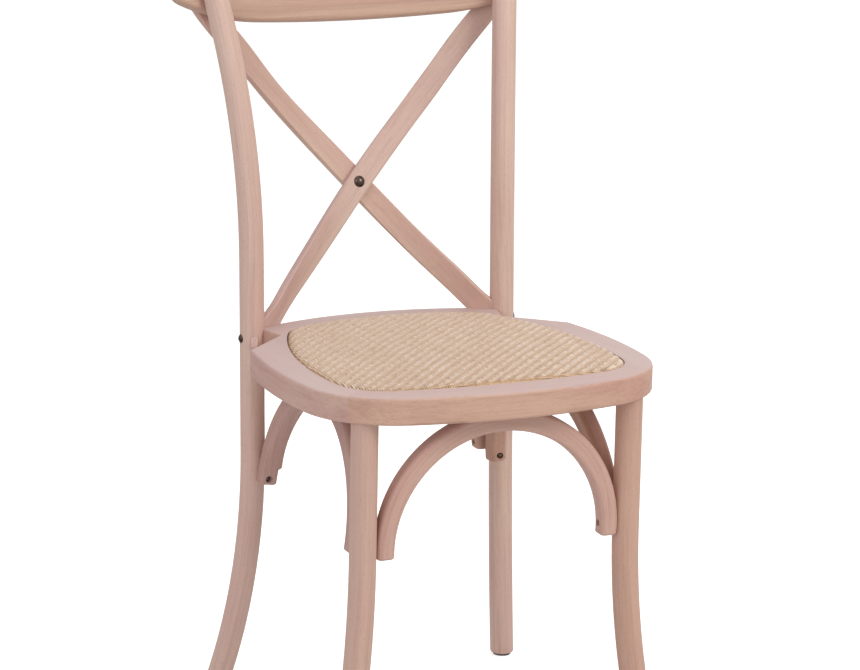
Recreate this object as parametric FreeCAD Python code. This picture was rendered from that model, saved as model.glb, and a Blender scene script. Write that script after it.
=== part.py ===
import FreeCAD, Part
import math
import os

# Cross back dining chair in beech with a woven rattan seat.
# Millimetres. X to the right seen from the front, Y to the back, Z up, floor at 0.
# While it is built, Y is measured from the line through the two front legs.
# At the end everything is moved so that the origin is under the middle of the box.

V = FreeCAD.Vector
UP = V(0, 0, 1)
RIGHT = V(1, 0, 0)
BACK = V(0, 1, 0)

# Seat frame
seat_height = 460.0
seat_thickness = 31.5
seat_half_width = 219.5
seat_widest_at = 120.0
seat_side_radius = 600.0
seat_front_reach = 55.0
seat_front_radius = 567.0
seat_corner_radius = 110.0
seat_back_reach = 34.0
seat_back_radius = 380.0
seat_top_round = 4.0
seat_bottom_round = 3.0
notch_half = 147.0
notch_reach = 42.5
notch_angle = 46.7
notch_flare = 15.0
notch_round = 5.0
rear_joint_angle = 30.0

# Pocket in the seat frame for the board and the woven pad
pocket_front_border = 41.5
pocket_side_border = 37.0
pocket_back_border = 35.0
pocket_widest_at = 95.0
pocket_side_radius = 460.0
pocket_front_radius = 800.0
pocket_back_radius = 345.0
pocket_front_corner = 60.0
pocket_back_corner = 48.0
pocket_depth = 14.0
ledge_width = 46.0
board_thickness = 6.0
board_gap = 0.3
pad_gap = 0.4
pad_crown = 8.5
pad_rim = 4.0
pad_rim_round = 8.0

# Front legs
leg_radius = 15.6
leg_half_spacing = 166.3
leg_bend_height = 270.0
leg_splay = 33.0
leg_splay_heading = 25.0
leg_tenon_radius = 9.0
leg_tenon_length = 15.0

# Rear posts, each a leg and an upright bent from one rod
post_radius = 14.7
post_half_spacing = 165.0
post_back = 337.5
post_lean = 2.2
post_bend_height = 310.0
post_splay = 64.0
post_splay_heading = 29.0
post_curve_height = 540.0
post_curve_radius = 930.0
post_curve_heading = 27.0
post_height = 866.0
post_top_round = 6.0

# Crest rail
crest_half_width = 248.0
crest_centre_height = 811.0
crest_tall = 78.0
crest_thickness = 20.0
crest_lean = 17.0
crest_touch_rise = 15.0
crest_radius = 700.0
crest_let_in = 2.5
crest_low_bow = 1.6
crest_low_reach = 125.0
crest_end_rise = 25.0
crest_end_radius = 28.0
crest_top_fall = 22.5
crest_round = 4.0

# Cross slats
slat_width = 28.6
slat_thickness = 9.0
slat_corner = 2.0
slat_cross_height = 613.0
slat_apex_height = 785.0
slat_foot_depth = 29.0
slat_foot_inset = 10.0
slat_foot_forward = 3.5
slat_foot_twist = 72.0
slat_hip_depth = 11.0
slat_hip_inset = 8.5
slat_hip_twist = 70.0
slat_hip_forward = 1.5
slat_bend_inset = -8.0
slat_bend_back = 3.5
slat_bend_depth = 2.0
slat_start_above_seat = 30.0
slat_start_inset = 36.1
slat_start_back = 20.0
slat_start_twist = 72.0
slat_swell = 3.6
slat_upper = ((0.35, 2.8, 20.0), (0.7, 5.4, 32.0), (1.0, 3.0, 20.0))
slat_top_gap = 2.0
slat_head_low = 10.0
slat_head_high = 30.0
slat_head_step = 14.0

# Bent arches under the seat
arch_width = 21.0
arch_end_thickness = 21.6
arch_crown_thickness = 25.2
arch_round = 6.0
arch_end_round = 3.5
arch_flat = 0.8
front_arch_end = 266.0
front_arch_lean = 2.2
rear_arch_end = 285.5
side_arch_front_end = 269.0
side_arch_rear_end = 275.0
side_arch_front_inset = {-1: 0.0, 1: 5.5}
side_arch_rear_inset = {-1: 8.0, 1: 17.0}
side_arch_lean = {-1: 7.5, 1: 5.0}
side_arch_front_bite = 1.2
side_arch_rear_bite = 2.5

# Fasteners
fit = 0.15
hole_gap = 0.1
head_recess = 5.0
head_sink = 1.0
screw_radius = 2.0
screw_head_radius = 3.8
screw_head_height = 2.6
screw_bite = 11.0
front_screw_rise = 14.0
rear_screw_rise = 9.0
side_screw_rise = 7.5
screw_backing = 0.75
board_screw_radius = 1.75
board_screw_bite = 4.5
cross_bolt_radius = 3.0
cross_head_radius = 7.0
cross_head_height = 3.6
cross_nut_radius = 6.0
cross_nut_height = 4.5
post_bolt_radius = 3.0
post_head_radius = 5.5
post_head_height = 3.2
post_bolt_drop = 11.6
post_head_seat = 0.6
post_backing = 0.9
barrel_radius = 5.0
barrel_length = 20.0
barrel_inset = 30.0
crest_screw_rise = 42.0
dowel_radius = 4.0
dowel_length = 26.0
front_dowel_insets = (38.0, 56.0)
rear_dowel_insets = (22.0, 37.0)

# Floor glides
glide_radius = 11.0
glide_height = 3.5
glide_edge = 0.8
nail_radius = 1.5
nail_length = 16.0
foot_round = 2.5

BIG = 2000.0
seat_bottom = seat_height - seat_thickness
pocket_floor = seat_height - pocket_depth
parts = {}


def heading(angle, side):
    """Level direction, angle in degrees from straight back, turned outwards."""
    turn = math.radians(angle)
    return V(side * math.sin(turn), math.cos(turn), 0)


def square_to(direction, axis):
    """The part of a direction that is square to an axis, of length 1."""
    rest = direction - axis * direction.dot(axis)
    return rest.normalize()


def unit(vector):
    return V(vector).normalize()


def solid(shape):
    """The one solid in a shape."""
    found = shape.Solids
    if len(found) != 1:
        raise RuntimeError("expected one solid, found " + str(len(found)))
    return found[0]


def carve(shape, *tools):
    """Cut each tool that comes near it out of a shape."""
    for tool in tools:
        if shape.BoundBox.intersect(tool.BoundBox):
            shape = solid(shape.cut(tool))
    return shape


def mirror(shape):
    return shape.mirror(V(0, 0, 0), RIGHT)


def box_between(low, high):
    size = high - low
    return Part.makeBox(size.x, size.y, size.z, low)


def rod(radius, start, direction, length):
    return Part.makeCylinder(radius, length, start, direction)


def dome(radius, height, base, direction):
    """A round head: a slice of a ball that stands on a flat base."""
    ball = (radius * radius + height * height) / (2 * height)
    centre = base + direction * (height - ball)
    return Part.makeSphere(ball, centre).common(rod(ball, base, direction, ball))


def bow_radius(reach, rise):
    """Radius of an arc that rises this much over this reach from its level middle."""
    return (reach ** 2 + rise ** 2) / (2 * rise)


def arc_point(start, tangent, normal, radius, reach):
    return start + tangent * reach + normal * (radius - math.sqrt(radius ** 2 - reach ** 2))


def arc_edge(start, tangent, normal, radius, reach):
    """Arc that leaves start along tangent and bends towards normal."""
    half = radius * math.sin(math.asin(reach / radius) / 2)
    middle = arc_point(start, tangent, normal, radius, half)
    end = arc_point(start, tangent, normal, radius, reach)
    return Part.Arc(start, middle, end).toShape()


def pipe(radius, edges, start, direction):
    ring = Part.Wire(Part.makeCircle(radius, start, direction))
    return Part.Wire(edges).makePipeShell([ring], True, False)


# Front legs and rear posts

def front_leg_arc(side):
    """Start of the leg's bend, the way it bends and its radius."""
    turn = math.radians(leg_splay_heading)
    out = V(side * math.cos(turn), -math.sin(turn), 0)
    return V(side * leg_half_spacing, 0, leg_bend_height), out, bow_radius(leg_bend_height, leg_splay)


def front_leg_blank(side, grow=0.0):
    """Round leg: straight under the seat, curving out and forward to the floor."""
    top = V(side * leg_half_spacing, 0, seat_bottom)
    knee, out, radius = front_leg_arc(side)
    curve = arc_edge(knee, -UP, out, radius, leg_bend_height + leg_radius)
    leg = pipe(leg_radius + grow, [Part.makeLine(top, knee), curve], top, -UP)
    return solid(leg.cut(box_between(V(-BIG, -BIG, -BIG), V(BIG, BIG, glide_height))))


def front_foot(side):
    knee, out, radius = front_leg_arc(side)
    return arc_point(knee, -UP, out, radius, leg_bend_height - glide_height)


def post_line(side, height):
    """Straight middle of the post, at any height."""
    y = post_back + math.tan(math.radians(post_lean)) * (height - seat_height)
    return V(side * post_half_spacing, y, height)


post_axis = V(0, math.sin(math.radians(post_lean)), math.cos(math.radians(post_lean)))


def post_low_arc(side):
    start = post_line(side, post_bend_height)
    out = square_to(heading(post_splay_heading, side), post_axis)
    return start, out, bow_radius(post_bend_height, post_splay)


def post_high_arc(side):
    start = post_line(side, post_curve_height)
    out = square_to(heading(post_curve_heading, side), post_axis)
    return start, out, post_curve_radius


def post_centre(side, height):
    """Centre of the post at a height, on the line or on one of its two arcs."""
    if post_bend_height <= height <= post_curve_height:
        return post_line(side, height)
    high = height > post_curve_height
    start, out, radius = post_high_arc(side) if high else post_low_arc(side)
    tangent = post_axis if high else -post_axis
    reach = abs(height - start.z)
    for step in range(30):
        point = arc_point(start, tangent, out, radius, reach)
        reach += (height - point.z) * (1 if high else -1)
    return point


def post_blank(side, grow=0.0):
    """One bent rod: rear leg, straight middle and backward curving upright."""
    low, low_out, low_radius = post_low_arc(side)
    high, high_out, high_radius = post_high_arc(side)
    down = arc_edge(low, -post_axis, low_out, low_radius, post_bend_height + post_radius)
    up = arc_edge(high, post_axis, high_out, high_radius, post_height - post_curve_height)
    lower = pipe(post_radius + grow, [down], low, -post_axis)
    upper = pipe(post_radius + grow, [Part.makeLine(low, high), up], low, post_axis)
    post = lower.fuse(upper).removeSplitter()
    return solid(post.cut(box_between(V(-BIG, -BIG, -BIG), V(BIG, BIG, glide_height))))


def bottom_rims(shape):
    return [e for e in shape.Edges if e.BoundBox.ZMax < glide_height + 0.01]


def top_rims(shape):
    top = max(e.CenterOfMass.z for e in shape.Edges)
    return [e for e in shape.Edges if e.CenterOfMass.z > top - 0.5]


# Seat frame

def cross_circles(c1, r1, c2, r2, outer):
    """Where two circles in plan cross, on the right of the pair if outer is 1."""
    gap = c2 - c1
    along = (gap.Length ** 2 + r1 ** 2 - r2 ** 2) / (2 * gap.Length)
    across = math.sqrt(r1 ** 2 - along ** 2)
    line = unit(gap)
    return c1 + line * along + V(line.y, -line.x, 0) * across * outer


class Plan:
    """Rounded plan shape: bowed front and sides that meet in round corners."""

    def __init__(self, front, front_r, half, side_r, widest, corner_r):
        self.front = V(0, front, 0)
        self.front_c = V(0, front + front_r, 0)
        self.front_r = front_r
        self.side_c = V(half - side_r, widest, 0)
        self.side_r = side_r
        self.corner_c = cross_circles(self.front_c, front_r - corner_r, self.side_c, side_r - corner_r, -1)
        self.corner_r = corner_r
        self.front_end = self.front_c + unit(self.corner_c - self.front_c) * front_r
        self.side_start = self.side_c + unit(self.corner_c - self.side_c) * side_r
        self.corner_out = unit(unit(self.corner_c - self.front_c) + unit(self.corner_c - self.side_c))

    def side_x(self, y):
        return self.side_c.x + math.sqrt(self.side_r ** 2 - (y - self.side_c.y) ** 2)

    def front_y(self, x):
        return self.front_c.y - math.sqrt(self.front_r ** 2 - x ** 2)

    def front_edges(self):
        corner = Part.Arc(self.front_end, self.corner_c + self.corner_out * self.corner_r, self.side_start)
        return [Part.Arc(flip(self.front_end), self.front, self.front_end).toShape(), corner.toShape()]


def flip(point):
    return V(-point.x, point.y, point.z)


def arc_on(centre, start, end, outer_point):
    radius = (start - centre).Length
    middle = centre + unit(outer_point - centre) * radius
    return Part.Arc(start, middle, end).toShape()


def seat_plan():
    return Plan(-seat_front_reach, seat_front_radius, seat_half_width, seat_side_radius,
                seat_widest_at, seat_corner_radius)


back_edge = post_back + seat_back_reach


def back_y(x):
    centre = back_edge - seat_back_radius
    return centre + math.sqrt(seat_back_radius ** 2 - x ** 2)


def seat_wire():
    """Outline of the seat with a notch at each rear corner for the post."""
    plan = seat_plan()
    vertex = V(notch_half, post_back - notch_reach, 0)
    slope = V(math.sin(math.radians(notch_angle)), -math.cos(math.radians(notch_angle)), 0)
    reach = 0.0
    for step in range(60):
        point = vertex + slope * reach
        reach += (plan.side_x(point.y) - point.x) * 0.8
    corner = vertex + slope * reach
    tip = V(vertex)
    for step in range(30):
        tip.x = vertex.x + math.tan(math.radians(notch_flare)) * (tip.y - vertex.y)
        tip.y = back_y(tip.x)
    middle = V(plan.side_x((plan.side_start.y + corner.y) / 2), (plan.side_start.y + corner.y) / 2, 0)
    right = plan.front_edges()[1:]
    right.append(Part.Arc(plan.side_start, middle, corner).toShape())
    right.append(Part.makeLine(corner, vertex))
    right.append(Part.makeLine(vertex, tip))
    left = [mirror(edge) for edge in right]
    back = Part.Arc(tip, V(0, back_edge, 0), flip(tip)).toShape()
    edges = plan.front_edges()[:1] + right + [back] + left
    return Part.Wire(Part.sortEdges(edges)[0]), corner, vertex, tip


def pocket_plan(inset):
    return Plan(-seat_front_reach + pocket_front_border + inset, pocket_front_radius - inset,
                seat_half_width - pocket_side_border - inset, pocket_side_radius - inset,
                pocket_widest_at, max(pocket_front_corner - inset, 12.0))


def pocket_wire(inset):
    """Outline of the pocket in the seat, drawn in by inset."""
    plan = pocket_plan(inset)
    corner_r = max(pocket_back_corner - inset, 12.0)
    back_top = back_edge - pocket_back_border - inset
    back_r = pocket_back_radius - inset
    back_c = V(0, back_top - back_r, 0)
    corner_c = cross_circles(back_c, back_r - corner_r, plan.side_c, plan.side_r - corner_r, 1)
    side_end = plan.side_c + unit(corner_c - plan.side_c) * plan.side_r
    back_start = back_c + unit(corner_c - back_c) * back_r
    out = unit(unit(corner_c - back_c) + unit(corner_c - plan.side_c))
    middle_y = (plan.side_start.y + side_end.y) / 2
    right = plan.front_edges()[1:]
    right.append(Part.Arc(plan.side_start, V(plan.side_x(middle_y), middle_y, 0), side_end).toShape())
    right.append(Part.Arc(side_end, corner_c + out * corner_r, back_start).toShape())
    left = [mirror(edge) for edge in right]
    back = Part.Arc(back_start, V(0, back_top, 0), flip(back_start)).toShape()
    edges = plan.front_edges()[:1] + right + [back] + left
    return Part.Wire(Part.sortEdges(edges)[0])


def slab(wire, low, high):
    face = Part.Face(wire)
    face.translate(UP * low)
    return face.extrude(UP * (high - low))


def upright_edges(shape, points):
    found = []
    for edge in shape.Edges:
        level = edge.BoundBox.ZLength
        middle = edge.CenterOfMass
        near = [p for p in points if math.hypot(middle.x - p.x, middle.y - p.y) < 0.5]
        if level > 1 and near:
            found.append(edge)
    return found


def seat_ring():
    """Seat frame as one ring, before it is cut into its four rails."""
    wire, corner, vertex, tip = seat_wire()
    block = slab(wire, seat_bottom, seat_height)
    points = [corner, flip(corner), vertex, flip(vertex), tip, flip(tip)]
    block = block.makeFillet(notch_round, upright_edges(block, points))
    top = [e for e in block.Edges if e.BoundBox.ZMin > seat_height - 0.01]
    block = block.makeFillet(seat_top_round, top)
    low = [e for e in block.Edges if e.BoundBox.ZMax < seat_bottom + 0.01]
    block = block.makeFillet(seat_bottom_round, low)
    block = carve(block, slab(pocket_wire(0), pocket_floor, seat_height + 1))
    return carve(block, slab(pocket_wire(ledge_width), seat_bottom - 1, pocket_floor + 1))


def prism(points, low, high):
    corners = [V(p.x, p.y, low) for p in points]
    return Part.Face(Part.makePolygon(corners + corners[:1])).extrude(UP * (high - low))


def rear_seam():
    """Corner of the notch and the direction of the joint that starts there."""
    turn = math.radians(rear_joint_angle)
    return V(notch_half, post_back - notch_reach, 0), V(-math.sin(turn), -math.cos(turn), 0)


def seat_rails(ring):
    """Front rail mitred at the corners, and a rear rail that holds the posts."""
    plan = seat_plan()
    inner = plan.corner_c
    outer = inner + plan.corner_out * seat_half_width
    low = seat_bottom - 1
    high = seat_height + 1
    front_zone = prism([flip(inner), flip(outer), V(-BIG, -BIG, 0), V(BIG, -BIG, 0), outer, inner], low, high)
    vertex, seam = rear_seam()
    deep = vertex + seam * seat_half_width / 2
    rear_zone = prism([flip(deep), flip(vertex), V(-BIG, BIG, 0), V(BIG, BIG, 0), vertex, deep], low, high)
    right = ring.common(box_between(V(0, -BIG, low), V(BIG, BIG, high))).cut(front_zone).cut(rear_zone)
    return {"seat_front_rail": solid(ring.common(front_zone)), "seat_rear_rail": solid(ring.common(rear_zone)),
            "seat_right_rail": solid(right), "seat_left_rail": solid(mirror(right))}


def dowel_places():
    """Centre and direction of each glued dowel in the corner joints."""
    plan = seat_plan()
    edge = plan.corner_c + plan.corner_out * plan.corner_r
    vertex, seam = rear_seam()
    level = (seat_bottom + pocket_floor) / 2
    places = []
    for side in (-1, 1):
        for start, run, insets in ((edge, -plan.corner_out, front_dowel_insets), (vertex, seam, rear_dowel_insets)):
            for inset in insets:
                point = start + run * inset
                places.append((V(side * point.x, point.y, level), V(side * run.y, -run.x, 0)))
    return places


# Woven pad and its board

def rattan_pad():
    """Crowned pad with a rolled rim that stands a little above the frame."""
    low = pocket_floor + board_thickness
    top = seat_height + pad_crown
    block = slab(pocket_wire(pad_gap), low, top + 1)
    reach = seat_half_width - pocket_side_border
    ball = reach ** 2 / (2 * (pad_crown - pad_rim))
    middle = V(0, (back_edge - pocket_back_border - seat_front_reach + pocket_front_border) / 2, top - ball)
    block = solid(block.common(Part.makeSphere(ball, middle)))
    rims = [e for e in block.Edges if e.BoundBox.ZMin > seat_height]
    return block.makeFillet(pad_rim_round, rims)


def board_screw_places():
    """Places along the middle of the ledge for the screws up into the board."""
    plan = pocket_plan(ledge_width / 2)
    back_r = pocket_back_radius - ledge_width / 2
    back_top = back_edge - pocket_back_border - ledge_width / 2
    third = seat_half_width * 0.36
    back_line = back_top - back_r + math.sqrt(back_r ** 2 - third ** 2)
    near, far = seat_widest_at * 0.62, seat_widest_at * 1.68
    return [V(side * x, y, seat_bottom) for side in (-1, 1) for x, y in
            ((third, plan.front_y(third)), (third, back_line), (plan.side_x(near), near), (plan.side_x(far), far))]


# Crest rail

def crest_frame():
    """Lowest front point of the crest at mid width, with its back and up directions."""
    lean = math.radians(crest_lean)
    up = V(0, math.sin(lean), math.cos(lean))
    back = V(0, math.cos(lean), -math.sin(lean))
    touch = post_centre(1, crest_centre_height + crest_touch_rise)
    fall = crest_radius - math.sqrt(crest_radius ** 2 - touch.x ** 2)
    front = touch + back * (post_radius - crest_let_in + fall)
    rise = (front.z - crest_centre_height) / up.z
    return V(0, front.y - up.y * rise, crest_centre_height), back, up


crest_origin, crest_back, crest_up = crest_frame()


def crest_point(x, rise, depth):
    """Point inside or behind the crest: across, up its face, and behind its front face."""
    ring = crest_radius + depth
    away = math.sqrt(ring ** 2 - x ** 2) - crest_radius
    return crest_origin + RIGHT * x + crest_back * away + crest_up * rise


def crest_normal(x, depth):
    ring = crest_radius + depth
    return RIGHT * (x / ring) + crest_back * (math.sqrt(ring ** 2 - x ** 2) / ring)


def crest_outline():
    """Front view of the crest: bowed below and above, with rounded ends."""
    low_end = V(crest_low_reach, 0, crest_low_bow)
    low_c = V(0, 0, bow_radius(crest_low_reach, crest_low_bow))
    rise_radius = bow_radius(crest_half_width - crest_low_reach, crest_end_rise)
    rise_c = low_end + unit(low_c - low_end) * rise_radius
    end_x = crest_half_width - crest_end_radius
    reach = rise_radius - crest_end_radius
    end_c = V(end_x, 0, rise_c.z - math.sqrt(reach ** 2 - (end_x - rise_c.x) ** 2))
    rise_end = rise_c + unit(end_c - rise_c) * rise_radius
    tip = V(crest_half_width, 0, end_c.z)
    top_radius = bow_radius(crest_half_width, crest_top_fall)
    top_c = V(0, 0, crest_tall - top_radius)
    level = end_c.z - top_c.z
    shoulder = (top_radius ** 2 - crest_half_width ** 2 - level ** 2) / (2 * (top_radius - crest_half_width))
    shoulder_c = V(crest_half_width - shoulder, 0, end_c.z)
    top_end = top_c + unit(shoulder_c - top_c) * top_radius
    bottom = Part.Arc(flip(low_end), V(0, 0, 0), low_end).toShape()
    top = Part.Arc(flip(top_end), V(0, 0, crest_tall), top_end).toShape()
    right = [arc_on(rise_c, low_end, rise_end, (low_end + rise_end) / 2),
             arc_on(end_c, rise_end, tip, (rise_end + tip) / 2),
             arc_on(shoulder_c, tip, top_end, (tip + top_end) / 2)]
    left = [mirror(edge) for edge in right]
    return Part.Wire(Part.sortEdges([bottom, top] + right + left)[0])


def crest_blank():
    """Board bent to an arc in plan, cut to its front view and leaning back."""
    tall = crest_tall * 2
    centre = V(0, -crest_radius, -tall / 4)
    board = Part.makeCylinder(crest_radius + crest_thickness, tall, centre)
    board = board.cut(Part.makeCylinder(crest_radius, tall, centre))
    front = Part.Face(crest_outline())
    front.translate(BACK * -crest_radius / 2)
    board = board.common(front.extrude(BACK * crest_radius))
    board = board.makeFillet(crest_round, [e for e in board.Edges if e.Curve.TypeId != "Part::GeomLine"])
    board.rotate(V(0, 0, 0), RIGHT, -crest_lean)
    board.translate(crest_origin)
    return board


# Cross slats

def slat_circle():
    """Circle, seen from the side, that the two slats lie on between post and crest."""
    post_x = post_centre(1, crest_centre_height).x
    head = crest_point(post_x, slat_head_low, crest_thickness + slat_thickness / 2)
    start_y = post_back + slat_start_back
    rise = slat_apex_height - seat_height - slat_start_above_seat
    depth = head.y - start_y
    return head.y, (rise ** 2 + depth ** 2) / (2 * depth)


def slat_line(height):
    """Middle of the two slats at a height, seen from the side, and its turn from upright."""
    deepest, radius = slat_circle()
    turn = math.asin((slat_apex_height - height) / radius)
    start = seat_height + slat_start_above_seat
    share = max(0.0, (height - start) / (slat_apex_height - start))
    return deepest - radius * (1 - math.cos(turn)) + slat_swell * math.sin(math.pi * share), turn


def slat_stations(side, ply):
    """Centre and face direction of each section, foot first. Ply is -1 for the front slat."""
    radius = slat_circle()[1]

    def run(height):
        return radius * math.asin((slat_apex_height - height) / radius)

    start = seat_height + slat_start_above_seat
    start_x = post_half_spacing - post_radius - slat_start_inset
    cross_run = run(slat_cross_height)
    pitch = start_x / (run(start) - cross_run)
    half_step = (slat_thickness + fit) / 2

    def on_circle(height):
        middle, turn = slat_line(height)
        lap = math.cos(math.radians(90) * min(abs(height - slat_cross_height) / (start - slat_cross_height), 1))
        y = middle + ply * half_step * max(lap, 0) / math.cos(turn)
        return V(pitch * (cross_run - run(height)), y, height), V(0, -math.cos(turn), math.sin(turn))

    inner = post_half_spacing - post_radius
    foot = V(-inner - slat_foot_inset, post_back - slat_foot_forward, seat_height - slat_foot_depth)
    hip = V(-inner - slat_hip_inset, post_back - slat_hip_forward, seat_height - slat_hip_depth)
    bend = V(-inner - slat_bend_inset, post_back + slat_bend_back, seat_height - slat_bend_depth)
    above = on_circle(start)[0]
    stations = [(foot, slat_foot_twist), (hip, slat_hip_twist)]
    for share in (1 / 3, 2 / 3):
        point = hip * (1 - share) ** 2 + bend * 2 * share * (1 - share) + above * share ** 2
        stations.append((point, slat_hip_twist + (slat_start_twist - slat_hip_twist) * share))
    stations = [(point, turned(V(0, -1, 0.5), twist)) for point, twist in stations]
    point, face = on_circle(start)
    stations.append((point, turned(face, slat_start_twist)))
    for share in (0.25, 0.6):
        height = start + (slat_cross_height - start) * share
        point, face = on_circle(height)
        stations.append((point, turned(face, slat_start_twist * (1 - share))))
    stations.append(on_circle(slat_cross_height))
    rise = slat_apex_height - slat_cross_height - slat_top_gap
    for share, out, twist in slat_upper:
        point, face = on_circle(slat_cross_height + rise * share)
        stations.append((point + RIGHT * out, turned(face, -twist)))
    head_x = stations[-1][0].x + pitch * (crest_centre_height + slat_head_low - slat_apex_height + slat_top_gap)
    gap = crest_thickness + slat_thickness / 2 + fit
    for x, rise in ((head_x, slat_head_low), (head_x + slat_head_step, slat_head_high)):
        stations.append((crest_point(x, rise, gap), -crest_normal(x, gap)))
    if side > 0:
        return stations
    return [(flip(point), flip(face)) for point, face in stations]


def turned(face, twist):
    """Face direction turned inwards about the upright, for a slat whose foot is on the left."""
    turn = math.radians(twist)
    return V(face.x * math.cos(turn) - face.y * math.sin(turn), face.x * math.sin(turn) + face.y * math.cos(turn), face.z)


def slat_section(point, tangent, face, grow):
    """Flat section with round corners, square to the run of the slat."""
    out = square_to(face, tangent)
    across = tangent.cross(out)
    half_w = slat_width / 2 + grow
    half_t = slat_thickness / 2 + grow
    bend = slat_corner * (1 - math.sqrt(0.5))
    edges = []
    corners = ((1, 1), (-1, 1), (-1, -1), (1, -1))
    for index, (u, v) in enumerate(corners):
        nu, nv = corners[(index + 1) % 4]
        first = u != nu
        a = V(u * (half_w - (0 if not first else slat_corner)), v * (half_t - (0 if first else slat_corner)), 0)
        b = V(nu * (half_w - (0 if not first else slat_corner)), nv * (half_t - (0 if first else slat_corner)), 0)
        c = V(nu * (half_w - bend), nv * (half_t - bend), 0)
        d = V(nu * (half_w - (slat_corner if not first else 0)), nv * (half_t - (slat_corner if first else 0)), 0)
        place = [point + across * p.x + out * p.y for p in (a, b, c, d)]
        edges.append(Part.makeLine(place[0], place[1]))
        edges.append(Part.Arc(place[1], place[2], place[3]).toShape())
    return Part.Wire(edges)


def slat_blank(side, ply, grow=0.0):
    stations = slat_stations(side, ply)
    sections = []
    last = len(stations) - 1
    for index, (point, face) in enumerate(stations):
        before = stations[max(index - 1, 0)][0]
        after = stations[min(index + 1, last)][0]
        sections.append(slat_section(point, unit(after - before), face, grow))
    return Part.makeLoft(sections, True, False)


# Arches

def arch_blank(outer, crown, left_end, right_end):
    """Half ring in the XZ plane, thick at the crown and thinner at its two ends."""
    centre = crown + arch_flat - outer
    inner_top = crown + arch_flat - arch_crown_thickness
    inner_half = outer - arch_end_thickness
    drop = inner_top - centre
    inner = (drop ** 2 + inner_half ** 2) / (2 * drop)
    start = V(0, -arch_width / 2, 0)
    ring = Part.makeCylinder(outer, arch_width, start + UP * centre, BACK)
    ring = ring.cut(Part.makeCylinder(inner, arch_width, start + UP * (inner_top - inner), BACK))
    ring = ring.cut(box_between(V(-BIG, -BIG, -BIG), V(0, BIG, left_end)))
    ring = ring.cut(box_between(V(0, -BIG, -BIG), V(BIG, BIG, right_end)))
    ring = ring.makeFillet(arch_round, [e for e in ring.Edges if e.Length > outer])
    ends = [e for e in ring.Edges if e.BoundBox.ZLength < 0.01 and e.BoundBox.ZMax < centre + arch_end_thickness]
    return solid(ring.makeFillet(arch_end_round, ends))


def under_seat(shape):
    return solid(shape.cut(box_between(V(-BIG, -BIG, seat_bottom), V(BIG, BIG, BIG))))


def front_arch():
    outer = leg_half_spacing - leg_radius + arch_flat
    arch = arch_blank(outer, seat_bottom, front_arch_end, front_arch_end)
    arch.rotate(UP * front_arch_end, RIGHT, front_arch_lean)
    return under_seat(arch)


rear_arch_y = post_line(1, post_bend_height).y


def rear_arch():
    outer = post_half_spacing - post_radius + arch_flat
    arch = arch_blank(outer, seat_bottom, rear_arch_end, rear_arch_end)
    arch.translate(BACK * rear_arch_y)
    return under_seat(arch)


def side_arch_layout(side):
    """Outer corners of the two ends of a side arch, in plan, as if it were the right one."""
    front = V(leg_half_spacing - side_arch_front_inset[side], leg_radius - side_arch_front_bite, 0)
    rear = V(post_half_spacing - side_arch_rear_inset[side], rear_arch_y - post_radius + side_arch_rear_bite, 0)
    return front, rear


def side_arch(side):
    """Arch from front to back that leans in towards its crown."""
    front, rear = side_arch_layout(side)
    skew = math.degrees(math.atan2(front.x - rear.x, rear.y - front.y))
    arch = arch_blank((rear - front).Length / 2, seat_bottom + 1, side_arch_front_end, side_arch_rear_end)
    arch.rotate(UP * side_arch_front_end, RIGHT, -side_arch_lean[side])
    arch.rotate(V(0, 0, 0), UP, 90 + skew)
    arch.translate((front + rear) / 2)
    arch = under_seat(arch)
    return arch if side > 0 else solid(mirror(arch))


# Screws

def screw(head_base, direction, shank):
    """Round head with its flat under face at head_base and the shank along direction."""
    head = dome(screw_head_radius, screw_head_height, head_base, -direction)
    return solid(head.fuse(rod(screw_radius, head_base, direction, shank)).removeSplitter())


def screw_hole(face, direction, depth, reach):
    """The two tools of a clearance hole with a wide recess, depth deep from the face."""
    wide = rod(screw_head_radius + fit * 2, face - direction * depth, direction, 2 * depth)
    return wide, rod(screw_radius + hole_gap, face, direction, reach)


def ray_into(shape, start, direction):
    """First point of a shape that a ray from start meets."""
    line = Part.makeLine(start, start + direction * BIG)
    hit = line.common(shape)
    points = [v.Point for v in hit.Vertexes]
    return min(points, key=lambda p: (p - start).Length)


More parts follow.
